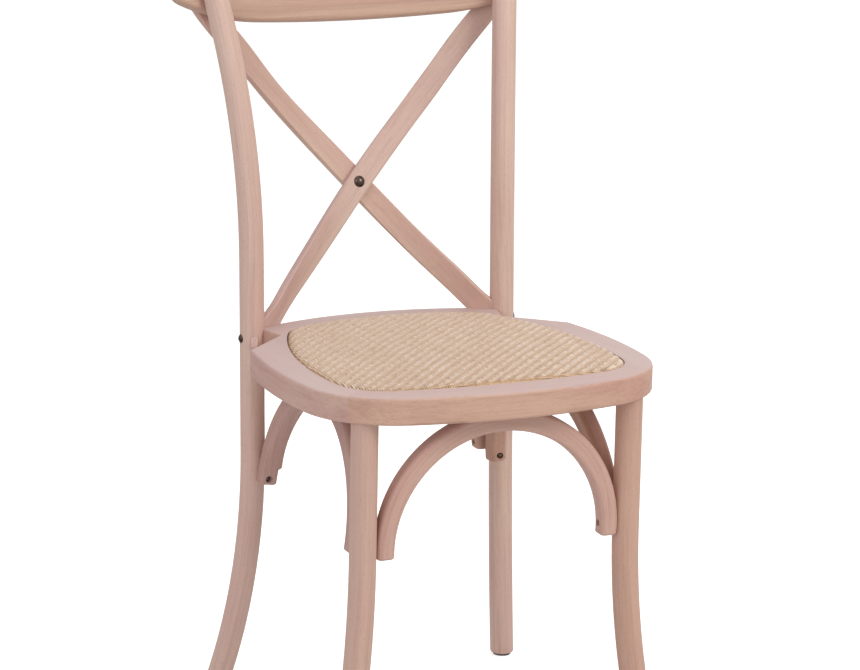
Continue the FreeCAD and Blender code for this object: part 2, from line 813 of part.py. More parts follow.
def build():
    names = {-1: "left", 1: "right"}
    legs = {side: front_leg_blank(side) for side in (-1, 1)}
    posts = {side: post_blank(side) for side in (-1, 1)}
    grown_legs = {side: front_leg_blank(side, fit) for side in (-1, 1)}
    grown_posts = {side: post_blank(side, fit) for side in (-1, 1)}
    rails = seat_rails(seat_ring())
    crest = crest_blank()
    slats = {"cross_slat_front": slat_blank(1, -1), "cross_slat_rear": slat_blank(-1, 1)}
    foot_of = {-1: "cross_slat_front", 1: "cross_slat_rear"}
    grown_slats = {-1: slat_blank(1, -1, fit), 1: slat_blank(-1, 1, fit)}

    for side in (-1, 1):
        crest = carve(crest, grown_posts[side])
        posts[side] = posts[side].makeFillet(post_top_round, top_rims(posts[side]))
        posts[side] = solid(posts[side].makeFillet(foot_round, bottom_rims(posts[side])))
        posts[side] = carve(posts[side], grown_slats[side])
        legs[side] = solid(legs[side].makeFillet(foot_round, bottom_rims(legs[side])))
        rails["seat_rear_rail"] = carve(rails["seat_rear_rail"], grown_posts[side], grown_slats[side])
        tenon = rod(leg_tenon_radius, V(side * leg_half_spacing, 0, seat_bottom - 1), UP, leg_tenon_length + 1)
        socket = rod(leg_tenon_radius + fit, V(side * leg_half_spacing, 0, seat_bottom - 1), UP,
                     leg_tenon_length + 1 + fit)
        legs[side] = solid(legs[side].fuse(tenon).removeSplitter())
        rails["seat_front_rail"] = carve(rails["seat_front_rail"], socket)

    def bore_rails(*tools):
        for name in rails:
            rails[name] = carve(rails[name], *tools)

    dowels = []
    for centre, direction in dowel_places():
        dowels.append(rod(dowel_radius, centre - direction * dowel_length / 2, direction, dowel_length))
        bore_rails(rod(dowel_radius + hole_gap / 2, centre - direction * (dowel_length / 2 + fit), direction,
                       dowel_length + 2 * fit))
    parts["seat_dowels"] = Part.makeCompound(dowels)

    board = slab(pocket_wire(board_gap), pocket_floor, pocket_floor + board_thickness)
    board_screws = []
    for place in board_screw_places():
        sunk = place + UP * head_recess
        shank = seat_thickness - pocket_depth - head_recess + board_screw_bite
        head = dome(screw_head_radius, screw_head_height, sunk, -UP)
        board_screws.append(solid(head.fuse(rod(board_screw_radius, sunk, UP, shank)).removeSplitter()))
        recess = rod(screw_head_radius + fit * 2, place - UP, UP, head_recess + 1)
        hole = rod(board_screw_radius + hole_gap, place, UP, head_recess + shank + fit)
        board = carve(board, hole)
        bore_rails(recess, hole)
    parts["board_screws"] = Part.makeCompound(board_screws)
    parts["seat_board"] = board
    parts["rattan_pad"] = rattan_pad()

    arches = {"front_arch": front_arch(), "rear_arch": rear_arch(),
              "left_side_arch": side_arch(-1), "right_side_arch": side_arch(1)}
    for name in arches:
        for side in (-1, 1):
            arches[name] = carve(arches[name], grown_legs[side], grown_posts[side])

    jobs = []
    for side in (-1, 1):
        front, rear = side_arch_layout(side)
        jobs.append(("front_arch", V(0, 0, front_arch_end + front_screw_rise), RIGHT * side, legs, side))
        jobs.append(("rear_arch", V(0, rear_arch_y, rear_arch_end + rear_screw_rise), RIGHT * side, posts, side))
        name = names[side] + "_side_arch"
        level = side_arch_rear_end + side_screw_rise
        inside = V(side * rear.x, rear.y - arch_end_thickness - 1, level)
        jobs.append((name, inside, unit(V(side * post_half_spacing, rear_arch_y, level) - inside), posts, side))
        level = side_arch_front_end + front_screw_rise
        inside = V(side * front.x, front.y + arch_end_thickness + 1, level)
        jobs.append((name, inside, unit(V(side * leg_half_spacing, 0, level) - inside), legs, side))
    end_screws = []
    for name, start, aim, rods, side in jobs:
        face = ray_into(arches[name], start - aim * 5, aim)
        sunk = face + aim * head_recess
        shank = arch_end_thickness - head_recess + screw_bite
        end_screws.append(screw(sunk, aim, shank))
        arches[name] = carve(arches[name], *screw_hole(face, aim, head_recess, head_recess + shank + fit))
        rods[side] = carve(rods[side], rod(screw_radius + hole_gap, sunk, aim, shank + fit))
    parts["arch_end_screws"] = Part.makeCompound(end_screws)

    crown_screws = []
    for name in arches:
        middle = (front + rear) / 2 if "side" in name else arches[name].CenterOfMass
        slice_low = V(-BIG, middle.y - 5, seat_bottom - 2)
        crown = solid(arches[name].common(box_between(slice_low, V(BIG, middle.y + 5, seat_bottom))))
        crown_x = crown.CenterOfMass.x if "side" in name else 0
        start = V(crown_x, middle.y, side_arch_rear_end)
        face = ray_into(arches[name], start, UP)
        sunk = face + UP * head_recess
        shank = seat_bottom - sunk.z + (seat_thickness - pocket_depth) * screw_backing
        crown_screws.append(screw(sunk, UP, shank))
        arches[name] = carve(arches[name], *screw_hole(face, UP, head_recess, head_recess + shank + fit))
        bore_rails(rod(screw_radius + hole_gap, sunk, UP, shank + fit))
    parts["arch_crown_screws"] = Part.makeCompound(crown_screws)

    post_bolts = []
    barrels = []
    level = seat_height - post_bolt_drop
    for side in (-1, 1):
        centre = post_line(side, level)
        aim = RIGHT * -side
        under_head = centre - aim * (post_radius - post_head_seat)
        tip = V(side * (notch_half - barrel_inset), centre.y, level)
        length = (tip - under_head).Length + barrel_radius
        head = dome(post_head_radius, post_head_height, under_head, -aim)
        post_bolts.append(solid(head.fuse(rod(post_bolt_radius, under_head, aim, length)).removeSplitter()))
        seat_cut = rod(post_head_radius + fit, under_head - aim * 10, aim, 10)
        bore = rod(post_bolt_radius + hole_gap, under_head, aim, length + fit)
        barrel = rod(barrel_radius, tip - UP * barrel_length / 2, UP, barrel_length)
        barrels.append(carve(barrel, bore))
        posts[side] = carve(posts[side], bore, seat_cut)
        bore_rails(bore, rod(barrel_radius + fit, V(tip.x, tip.y, seat_bottom - 1), UP,
                             tip.z + barrel_length / 2 + fit - seat_bottom + 1))
        slats[foot_of[side]] = carve(slats[foot_of[side]], bore)
    parts["post_bolts"] = Part.makeCompound(post_bolts)
    parts["post_barrel_nuts"] = Part.makeCompound(barrels)

    middle, turn = slat_line(slat_cross_height)
    face = V(0, -math.cos(turn), math.sin(turn))
    cross = V(0, middle, slat_cross_height)
    reach = slat_thickness + fit
    front_face = cross + face * reach
    bolt = dome(cross_head_radius, cross_head_height, front_face, face)
    bolt = bolt.fuse(rod(cross_bolt_radius, front_face, -face, 2 * reach + cross_nut_height - 1))
    nut = dome(cross_nut_radius, cross_nut_height, cross - face * reach, -face)
    nut = carve(nut, rod(cross_bolt_radius + hole_gap / 2, cross, -face, reach + cross_nut_height - 1 + hole_gap))
    for name in slats:
        slats[name] = carve(slats[name], rod(cross_bolt_radius + hole_gap, front_face, -face, 2 * reach))
    parts["cross_bolt"] = solid(bolt.removeSplitter())
    parts["cross_cap_nut"] = nut

    crest_screws = []
    slat_screws = []
    for side in (-1, 1):
        holder = foot_of[-side]
        jobs = ((slat_screws, (slat_head_low + slat_head_high) / 2, crest_thickness + slat_thickness + fit),
                (crest_screws, crest_screw_rise, crest_thickness))
        for made, rise, depth in jobs:
            target = post_centre(side, crest_centre_height + rise * crest_up.z)
            aim = -unit(crest_normal(target.x, depth))
            base = crest_point(target.x, rise, depth) + aim * head_sink
            shank = depth + post_radius * post_backing
            made.append(screw(base, aim, shank))
            bore = rod(screw_radius + hole_gap, base, aim, shank + fit)
            sink = rod(screw_head_radius + fit, base - aim * 6, aim, 6)
            crest = carve(crest, bore, sink)
            posts[side] = carve(posts[side], bore)
            slats[holder] = carve(slats[holder], bore, sink)
    parts["crest_screws"] = Part.makeCompound(crest_screws)
    parts["slat_screws"] = Part.makeCompound(slat_screws)

    glides = []
    nails = []
    for side in (-1, 1):
        for rods, foot in ((legs, front_foot(side)), (posts, post_centre(side, glide_height))):
            centre = V(foot.x, foot.y, 0)
            glide = rod(glide_radius, centre, UP, glide_height)
            glide = glide.makeFillet(glide_edge, [e for e in glide.Edges if e.BoundBox.ZMax < 0.01])
            bore = rod(nail_radius + hole_gap / 2, centre + UP, UP, nail_length + fit)
            glides.append(carve(glide, bore))
            nails.append(rod(nail_radius, centre + UP, UP, nail_length))
            rods[side] = carve(rods[side], bore)
    parts["foot_glides"] = Part.makeCompound(glides)
    parts["glide_nails"] = Part.makeCompound(nails)

    parts.update(rails)
    parts.update(arches)
    parts.update(slats)
    parts["crest_rail"] = crest
    for side in (-1, 1):
        parts["front_leg_" + names[side]] = legs[side]
        parts["rear_post_" + names[side]] = posts[side]


def write():
    """Move the origin to the floor under the middle of the chair and write each part."""
    box = Part.makeCompound(list(parts.values())).optimalBoundingBox(False, False)
    shift = V(0, -(box.YMin + box.YMax) / 2, 0)
    os.makedirs("parts", exist_ok=True)
    for name, shape in sorted(parts.items()):
        shape.translate(shift)
        shape.exportStep("parts/" + name + ".step")
        print(name, len(shape.Solids), "solids, volume", round(shape.Volume / 1000, 2), "cm3",
              "valid" if shape.isValid() else "NOT VALID")
    print("box", [round(v, 2) for v in (box.XMin, box.XMax, box.YMin, box.YMax, box.ZMin, box.ZMax)],
          "shift", round(shift.y, 2))


build()
write()
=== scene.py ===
import math
import random

import bpy
import numpy as np
from mathutils import Matrix, Vector
from mathutils.bvhtree import BVHTree

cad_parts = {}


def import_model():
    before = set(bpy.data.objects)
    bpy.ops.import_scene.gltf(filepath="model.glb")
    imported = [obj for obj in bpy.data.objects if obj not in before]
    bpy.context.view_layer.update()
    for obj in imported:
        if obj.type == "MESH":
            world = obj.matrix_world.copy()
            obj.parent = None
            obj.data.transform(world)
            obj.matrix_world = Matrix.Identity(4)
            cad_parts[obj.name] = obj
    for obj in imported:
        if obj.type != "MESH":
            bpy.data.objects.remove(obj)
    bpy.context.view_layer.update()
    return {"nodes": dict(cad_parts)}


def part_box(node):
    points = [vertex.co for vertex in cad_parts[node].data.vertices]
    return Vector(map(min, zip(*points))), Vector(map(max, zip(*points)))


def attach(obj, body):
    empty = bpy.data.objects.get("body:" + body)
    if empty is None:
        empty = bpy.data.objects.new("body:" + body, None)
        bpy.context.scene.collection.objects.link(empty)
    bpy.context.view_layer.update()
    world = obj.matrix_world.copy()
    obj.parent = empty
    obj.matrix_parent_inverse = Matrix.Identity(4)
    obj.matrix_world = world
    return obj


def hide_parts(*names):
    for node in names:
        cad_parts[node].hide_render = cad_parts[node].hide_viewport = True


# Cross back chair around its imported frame. Metres, floor at z = 0, the chair faces -Y.

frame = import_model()
nodes = frame["nodes"]
scene = bpy.context.scene

# Where the main lines of the chair are. legs_y is the line through the two front legs.
SEAT_FRONT_REACH = 0.055
SEAT_TOP = 0.460
legs_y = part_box("seat_front_rail")[0].y + SEAT_FRONT_REACH


# Camera at the photograph's angle

CAMERA_OFFSET = (-1.810, -3.692, 1.481)
CAMERA_YAW = math.radians(25.0)
CAMERA_PITCH = math.radians(13.27)
CAMERA_ROLL = math.radians(1.15)
CAMERA_LENS = 157.06
SENSOR = 36.0


def add_camera():
    data = bpy.data.cameras.new("camera")
    data.lens = CAMERA_LENS
    data.sensor_width = SENSOR
    data.clip_end = 200
    camera = bpy.data.objects.new("camera", data)
    scene.collection.objects.link(camera)
    level = Vector((math.sin(CAMERA_YAW), math.cos(CAMERA_YAW), 0))
    right = Vector((math.cos(CAMERA_YAW), -math.sin(CAMERA_YAW), 0))
    ahead = level * math.cos(CAMERA_PITCH) - Vector((0, 0, math.sin(CAMERA_PITCH)))
    up = right.cross(ahead)
    rolled_right = right * math.cos(CAMERA_ROLL) + up * math.sin(CAMERA_ROLL)
    rolled_up = up * math.cos(CAMERA_ROLL) - right * math.sin(CAMERA_ROLL)
    turn = Matrix((rolled_right, rolled_up, -ahead)).transposed().to_4x4()
    place = Vector(CAMERA_OFFSET) + Vector((0, legs_y, 0))
    camera.matrix_world = Matrix.Translation(place) @ turn
    scene.camera = camera


add_camera()


# Material graphs

class Graph:
    """One node material, with short calls for the nodes that are used here."""

    def __init__(self, name):
        self.material = bpy.data.materials.new(name)
        self.material.use_nodes = True
        self.tree = self.material.node_tree
        self.tree.nodes.clear()
        self.shader = self.add("ShaderNodeBsdfPrincipled")
        out = self.add("ShaderNodeOutputMaterial")
        self.tree.links.new(self.shader.outputs["BSDF"], out.inputs["Surface"])
        self.place = self.add("ShaderNodeTexCoord").outputs["Object"]
        split = self.add("ShaderNodeSeparateXYZ", Vector=self.place)
        self.x, self.y, self.z = split.outputs

    def add(self, kind, settings=None, **inputs):
        node = self.tree.nodes.new(kind)
        for key, value in (settings or {}).items():
            setattr(node, key, value)
        for key, value in inputs.items():
            self.put(node.inputs[key.replace("_", " ")], value)
        return node

    def put(self, socket, value):
        if isinstance(value, bpy.types.NodeSocket):
            self.tree.links.new(value, socket)
        else:
            socket.default_value = value

    def math(self, operation, *values):
        node = self.add("ShaderNodeMath", {"operation": operation})
        for socket, value in zip(node.inputs, values):
            self.put(socket, value)
        return node.outputs[0]

    def plus(self, a, b):
        return self.math("ADD", a, b)

    def minus(self, a, b):
        return self.math("SUBTRACT", a, b)

    def times(self, a, b):
        return self.math("MULTIPLY", a, b)

    def vector(self, x, y, z):
        return self.add("ShaderNodeCombineXYZ", X=x, Y=y, Z=z).outputs[0]

    def noise(self, vector, scale=1.0, detail=2.0, roughness=0.5, shift=0.0):
        moved = self.add("ShaderNodeVectorMath", {"operation": "ADD"})
        self.put(moved.inputs[0], vector)
        self.put(moved.inputs[1], (shift, shift * 0.37, shift * 1.71))
        node = self.add("ShaderNodeTexNoise", Vector=moved.outputs[0], Scale=scale, Detail=detail,
                        Roughness=roughness)
        return node.outputs[0]

    def ease(self, value, low, high, to_low=0.0, to_high=1.0):
        node = self.add("ShaderNodeMapRange", {"interpolation_type": "SMOOTHSTEP"}, Value=value)
        for key, number in (("From Min", low), ("From Max", high), ("To Min", to_low), ("To Max", to_high)):
            node.inputs[key].default_value = number
        return node.outputs[0]

    def mix(self, factor, a, b, blend="MIX"):
        node = self.add("ShaderNodeMix", {"data_type": "RGBA", "blend_type": blend})
        self.put(node.inputs[0], factor)
        self.put(node.inputs[6], a)
        self.put(node.inputs[7], b)
        return node.outputs[2]

    def bump(self, height, distance, strength=1.0):
        node = self.add("ShaderNodeBump", Height=height, Distance=distance, Strength=strength)
        return node.outputs[0]

    def normal_z(self):
        normal = self.add("ShaderNodeNewGeometry").outputs["Normal"]
        return self.add("ShaderNodeSeparateXYZ", Vector=normal).outputs[2]


def colour(red, green, blue):
    """Linear colour from the 0-255 numbers of a screen colour."""
    return tuple(((v / 255 + 0.055) / 1.055) ** 2.4 for v in (red, green, blue)) + (1.0,)


# Grain directions: each gives (along, across, deep) in metres

def along_x(g):
    return g.x, g.z, g.y


def along_y(g):
    return g.y, g.z, g.x


def arc_offset(g, reach, radius):
    """How far an arc has left its tangent after a reach, nothing where the reach is negative."""
    reach = g.math("MAXIMUM", reach, 0.0)
    return g.minus(radius, g.math("SQRT", g.minus(radius * radius, g.times(reach, reach))))


def rod_grain(side, x0, y0, lean, bends):
    """Grain of a bent rod. Each bend is (height, way, radius, heading of the bend in plan)."""
    def build(g):
        x = g.times(g.x, side)
        across = g.minus(x, x0)
        deep = g.minus(g.minus(g.y, y0), g.times(g.minus(g.z, SEAT_TOP), lean))
        for height, way, radius, heading in bends:
            off = arc_offset(g, g.times(g.minus(g.z, height), way), radius)
            across = g.minus(across, g.times(off, math.sin(heading)))
            deep = g.minus(deep, g.times(off, math.cos(heading)))
        return g.z, across, deep
    return build


def arch_grain(axis, middle, centre_z, radius):
    """Grain that follows a half ring in the XZ plane (axis 0) or the YZ plane (axis 1)."""
    def build(g):
        run = g.minus((g.x, g.y)[axis], middle)
        rise = g.minus(g.z, centre_z)
        angle = g.math("ARCTAN2", run, rise)
        ring = g.math("SQRT", g.plus(g.times(run, run), g.times(rise, rise)))
        return g.times(angle, radius), ring, (g.y, g.x)[axis]
    return build


CREST_LEAN = math.radians(17.0)
CREST_RADIUS = 0.7
SLAT_SLOPE = math.radians(48.0)
SLAT_TOP = 0.785
SLAT_BOW = 0.62


def crest_grain(g):
    """Along the bent board, up its leaning face and into its thickness."""
    bow = g.times(g.times(g.x, g.x), 1 / (2 * CREST_RADIUS))
    up = g.plus(g.times(g.z, math.cos(CREST_LEAN)), g.times(g.y, math.sin(CREST_LEAN)))
    deep = g.minus(g.times(g.y, math.cos(CREST_LEAN)), g.times(g.z, math.sin(CREST_LEAN)))
    return g.x, up, g.plus(deep, bow)


def slat_grain(side):
    """Along the diagonal. side is 1 for the slat that rises to the right."""
    def build(g):
        x = g.times(g.x, side)
        along = g.plus(g.times(x, math.cos(SLAT_SLOPE)), g.times(g.z, math.sin(SLAT_SLOPE)))
        across = g.minus(g.times(g.z, math.cos(SLAT_SLOPE)), g.times(x, math.sin(SLAT_SLOPE)))
        drop = g.minus(SLAT_TOP, g.z)
        deep = g.plus(g.y, g.times(g.times(drop, drop), SLAT_BOW))
        return along, across, deep
    return build


# Beech

WOOD_MID = colour(206, 166, 147)
WOOD_PINK = colour(200, 152, 134)
WOOD_YELLOW = colour(214, 178, 150)
WOOD_LINE = colour(168, 126, 106)
WOOD_FLECK = colour(142, 98, 78)
WOOD_TOP_SHEEN = colour(200, 181, 181)
PLAIN = (1.0, 1.0, 1.0)


def beech(name, grain, shift, tint=PLAIN, warm=0.0, streaks=0.0, top_sheen=0.6):
    """Sanded beech: growth bands, fibres, short dark flecks and soft blotches, plus painted sheen on faces that
    point up.
    """
    g = Graph(name)
    along, across, deep = grain(g)
    wander = g.noise(g.vector(g.times(along, 3.0), g.times(across, 9.0), g.times(deep, 9.0)), 1.0, 1.0, 0.5, shift)
    wander = g.times(g.minus(wander, 0.5), 0.014)
    across = g.plus(across, wander)
    deep = g.plus(deep, wander)
    bands = g.noise(g.vector(g.times(along, 2.2), g.times(across, 85.0), g.times(deep, 60.0)), 1.0, 3.0, 0.6,
                    shift + 3.1)
    wide = g.noise(g.vector(g.times(along, 1.5), g.times(across, 22.0), g.times(deep, 22.0)), 1.0, 2.0, 0.5,
                   shift + 5.7)
    fibres = g.noise(g.vector(g.times(along, 22.0), g.times(across, 900.0), g.times(deep, 900.0)), 1.0, 2.0, 0.6,
                     shift + 9.2)
    lines = g.noise(g.vector(g.times(along, 4.0), g.times(across, 330.0), g.times(deep, 240.0)), 1.0, 2.0, 0.55,
                    shift + 7.4)
    flecks = g.noise(g.vector(g.times(along, 240.0), g.times(across, 1700.0), g.times(deep, 900.0)), 1.0, 1.0, 0.4,
                     shift + 12.4)
    patches = g.noise(g.vector(g.times(along, 9.0), g.times(across, 16.0), g.times(deep, 16.0)), 1.0, 2.0, 0.5,
                      shift + 15.3)
    tone = g.mix(g.ease(wide, 0.32, 0.68), WOOD_PINK, WOOD_YELLOW)
    tone = g.mix(0.45, tone, WOOD_MID)
    tone = g.mix(g.ease(patches, 0.35, 0.7, 0.0, 0.35), tone, WOOD_PINK)
    tone = g.mix(g.ease(bands, 0.50, 0.66, 0.0, 0.20), tone, WOOD_LINE)
    tone = g.mix(g.ease(lines, 0.50, 0.64, 0.0, 0.20), tone, WOOD_LINE)
    tone = g.mix(g.ease(fibres, 0.48, 0.72, 0.0, 0.22), tone, WOOD_LINE)
    tone = g.mix(g.ease(flecks, 0.66, 0.74, 0.0, 0.40), tone, WOOD_FLECK)
    if warm:
        tone = g.mix(warm, tone, colour(214, 152, 112))
    if streaks:
        low = g.ease(g.z, 0.60, 0.49)
        dark = g.noise(g.vector(g.times(along, 5.0), g.times(across, 190.0), g.times(deep, 30.0)), 1.0, 1.0, 0.5,
                       shift + 21.0)
        mark = g.times(g.ease(dark, 0.60, 0.68, 0.0, streaks), low)
        tone = g.mix(mark, tone, WOOD_FLECK)
    # Painted light and shade: the part's tint makes a lit or shaded copy of the one beech.
    if tint != PLAIN:
        tone = g.mix(1.0, tone, tint + (1.0,), "MULTIPLY")
    # Painted sheen: faces that point up are mixed towards a paler, cooler tone, standing in for the light and
    # reflection from above.
    up = g.ease(g.normal_z(), 0.55, 1.0, 0.0, top_sheen)
    tone = g.mix(up, tone, WOOD_TOP_SHEEN)
    g.put(g.shader.inputs["Base Color"], tone)
    g.put(g.shader.inputs["Roughness"], g.ease(bands, 0.3, 0.7, 0.50, 0.62))
    g.shader.inputs["Specular IOR Level"].default_value = 0.42
    height = g.plus(g.times(bands, 0.5), g.times(fibres, 0.5))
    g.put(g.shader.inputs["Normal"], g.bump(height, 0.0004, 0.35))
    return g.material


def dress(material, *names):
    for name in names:
        slots = nodes[name].data.materials
        slots.clear()
        slots.append(material)


LEG_X = 0.1663
POST_X = 0.165
POST_Y = legs_y + 0.3375
LEG_RADIUS = (0.270 ** 2 + 0.033 ** 2) / 0.066
POST_LOW_RADIUS = (0.310 ** 2 + 0.064 ** 2) / 0.128
POST_HIGH_RADIUS = 0.930
POST_LEAN = math.tan(math.radians(2.2))
ARCH_CENTRE = 0.278
ARCH_RADIUS = 0.14

# Per-part tints are painted light and shade on the one beech: paler and bluer as painted sheen on the posts, the
# left leg and the slats, darker as painted shade on the right leg and on the side arches under the seat.
POST_SHEEN_TINT = (1.09, 1.27, 1.45)
LEG_LIGHT_TINTS = ((0.99, 1.12, 1.22), (0.93, 0.95, 1.00))
SIDE_ARCH_SHADE_TINTS = ((0.80, 0.82, 0.96), (0.82, 0.78, 0.80))

# The tint given to each part below is painted light and shade as well.
dress(beech("beech_front_rail", along_x, 1.0, (0.92, 0.92, 0.97)), "seat_front_rail")
dress(beech("beech_rear_rail", along_x, 31.0, (0.90, 0.94, 1.00)), "seat_rear_rail")
dress(beech("beech_left_rail", along_y, 61.0, (0.93, 0.98, 1.12)), "seat_left_rail")
dress(beech("beech_right_rail", along_y, 91.0, (0.93, 0.98, 1.12)), "seat_right_rail")
for index, side in enumerate((-1, 1)):
    word = ("left", "right")[index]
    leg = rod_grain(side, LEG_X, legs_y, 0.0, ((0.270, -1, LEG_RADIUS, math.radians(90 + 25)),))
    bends = ((0.310, -1, POST_LOW_RADIUS, math.radians(29)), (0.540, 1, POST_HIGH_RADIUS, math.radians(27)))
    post = rod_grain(side, POST_X, POST_Y, POST_LEAN, bends)
    arch_low, arch_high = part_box(word + "_side_arch")
    side_middle = (arch_low.y + arch_high.y) / 2
    dress(beech("beech_leg_" + word, leg, 120.0 + 30 * index, LEG_LIGHT_TINTS[index]), "front_leg_" + word)
    dress(beech("beech_post_" + word, post, 190.0 + 30 * index, POST_SHEEN_TINT), "rear_post_" + word)
    dress(beech("beech_side_arch_" + word, arch_grain(1, side_middle, ARCH_CENTRE, ARCH_RADIUS), 260.0 + 30 * index,
                SIDE_ARCH_SHADE_TINTS[index]), word + "_side_arch")
cross_arch = arch_grain(0, 0.0, ARCH_CENTRE, ARCH_RADIUS)
dress(beech("beech_front_arch", cross_arch, 330.0, (0.94, 0.98, 1.10)), "front_arch")
dress(beech("beech_rear_arch", cross_arch, 360.0, (0.92, 0.94, 1.02)), "rear_arch")
dress(beech("beech_crest", crest_grain, 390.0, (0.87, 0.94, 0.97)), "crest_rail")
dress(beech("beech_slat_front", slat_grain(1), 420.0, (1.01, 1.16, 1.36)), "cross_slat_front")
dress(beech("beech_slat_rear", slat_grain(-1), 450.0, (0.99, 1.17, 1.38), 0.20, 0.8), "cross_slat_rear")
dress(beech("beech_dowels", along_x, 480.0), "seat_dowels")


def plywood():
    g = Graph("plywood")
    sheets = g.math("FRACT", g.times(g.z, 1 / 0.0024))
    rough = g.noise(g.vector(g.times(g.x, 4.0), g.times(g.y, 120.0), 0.0), 1.0, 3.0, 0.6, 2.0)
    tone = g.mix(g.ease(rough, 0.3, 0.7), colour(206, 172, 132), colour(184, 146, 106))
    side = g.math("LESS_THAN", g.math("ABSOLUTE", g.normal_z()), 0.5)
    tone = g.mix(g.times(side, g.ease(sheets, 0.45, 0.55)), tone, colour(140, 104, 72))
    g.put(g.shader.inputs["Base Color"], tone)
    g.shader.inputs["Roughness"].default_value = 0.7
    g.put(g.shader.inputs["Normal"], g.bump(rough, 0.0003, 0.3))
    return g.material


def metal(name, tone, dark, metallic, low, high):
    g = Graph(name)
    cloud = g.noise(g.place, 160.0, 3.0, 0.6, 4.0)
    scratch = g.noise(g.vector(g.times(g.x, 900.0), g.times(g.y, 900.0), g.times(g.z, 4000.0)), 1.0, 1.0, 0.5, 8.0)
    g.put(g.shader.inputs["Base Color"], g.mix(g.ease(cloud, 0.35, 0.7), tone, dark))
    g.shader.inputs["Metallic"].default_value = metallic
    g.put(g.shader.inputs["Roughness"], g.ease(cloud, 0.3, 0.7, low, high))
    g.put(g.shader.inputs["Normal"], g.bump(scratch, 0.00005, 0.25))
    return g.material


def plastic():
    g = Graph("grey_plastic")
    grain = g.noise(g.place, 1800.0, 2.0, 0.5, 6.0)
    g.put(g.shader.inputs["Base Color"], g.mix(g.ease(grain, 0.3, 0.7), colour(74, 72, 70), colour(96, 94, 90)))
    g.shader.inputs["Roughness"].default_value = 0.6
    g.put(g.shader.inputs["Normal"], g.bump(grain, 0.0002, 0.4))
    return g.material


dress(plywood(), "seat_board")
dress(metal("dark_bronze", colour(92, 78, 70), colour(52, 42, 38), 0.9, 0.22, 0.38),
      "cross_bolt", "cross_cap_nut", "post_bolts", "crest_screws", "slat_screws")
dress(metal("zinc_steel", colour(120, 112, 98), colour(82, 76, 66), 0.9, 0.35, 0.5),
      "board_screws", "post_barrel_nuts", "arch_end_screws", "arch_crown_screws", "glide_nails")
dress(plastic(), "foot_glides")


# Woven rattan seat

PITCH = 0.00267
FLOAT = 3
STRAND_WIDTH = 0.00252
STRAND_THICK = 0.0008
WAVE = 0.00046
SINK = 0.0009
RIM_STEPS = (0.0004, 0.0016, 0.0034, 0.0058)
TUCK = 0.0008
EDGE_STEPS = 22
PLACE_JITTER = 0.00008
HEIGHT_JITTER = 0.00010
CORE_INSET = 0.0045
CORE_FOOT = 0.002
CORE_DROP = 0.0018
SECTION = ((-0.5, -0.1), (-0.27, 0.42), (0.27, 0.42), (0.5, -0.1), (0.0, -0.5))


def pad_surface():
    mesh = nodes["rattan_pad"].data
    points = [v.co.copy() for v in mesh.vertices]
    return BVHTree.FromPolygons(points, [tuple(p.vertices) for p in mesh.polygons])


pad_tree = pad_surface()
pad_low, pad_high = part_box("rattan_pad")


def pad_top(x, y):
    """Height of the pad at a place in plan, or None outside it."""
    hit = pad_tree.ray_cast(Vector((x, y, pad_high.z + 0.05)), Vector((0, 0, -1)), 0.2)[0]
    return hit.z if hit is not None and hit.z > pad_low.z + 0.0005 else None


def pad_edge(place, inside, outside):
    """Where a straight line in plan leaves the pad, between a point inside and one outside."""
    for step in range(EDGE_STEPS):
        middle = (inside + outside) / 2
        if pad_top(*place(middle)) is None:
            outside = middle
        else:
            inside = middle
    return inside


def strand_path(place, low, high, count, lift_at):
    """Points of one strand: down in the groove, over the rim, across, and down again."""
    marks = [(k, (k + 0.5 - count / 2) * PITCH + (low + high) / 2) for k in range(count)]
    held = [(k, t, pad_top(*place(t))) for k, t in marks]
    inner = [entry for entry in held if entry[2] is not None]
    if len(inner) < 3:
        return None
    first, last = inner[0][1], inner[-1][1]
    start = pad_edge(place, first, first - PITCH)
    end = pad_edge(place, last, last + PITCH)
    points = []
    for way, edge in ((1, start), (-1, end)):
        outer = edge - way * SINK
        rim = [(outer, pad_low.z + TUCK), (outer, pad_top(*place(edge)))]
        for step in RIM_STEPS:
            t = edge + way * step
            rim.append((t, pad_top(*place(t))))
        rim = [entry for entry in rim if entry[1] is not None]
        points.append(rim)
    clear = RIM_STEPS[-1] + PITCH * 0.6
    body = [(t, z + lift_at(k)) for k, t, z in inner if start + clear < t < end - clear]
    return points[0] + body + points[1][::-1]


def strand_sections(path, place, across, width, thick, way):
    """Ring of points at each path point, square to the strand and sunk below the pad's face."""
    line = np.array([tuple(place(t)) + (z,) for t, z in path])
    step = np.gradient(line, axis=0)
    step /= np.linalg.norm(step, axis=1)[:, None]
    side = np.tile(np.array(across, float), (len(line), 1))
    out = np.cross(step, side)
    out *= way
    out /= np.linalg.norm(out, axis=1)[:, None]
    rings = [line + side * (u * width) + out * (v * thick - SINK) for u, v in SECTION]
    return np.stack(rings, axis=1)


def strand_mesh(rings, base):
    rows, around = rings.shape[:2]
    index = base + np.arange(rows * around).reshape(rows, around)
    a = index[:-1]
    b = index[1:]
    quads = np.stack([a, np.roll(a, -1, axis=1), np.roll(b, -1, axis=1), b], axis=-1).reshape(-1, 4)
    caps = [list(index[0][::-1]), list(index[-1])]
    return quads, caps


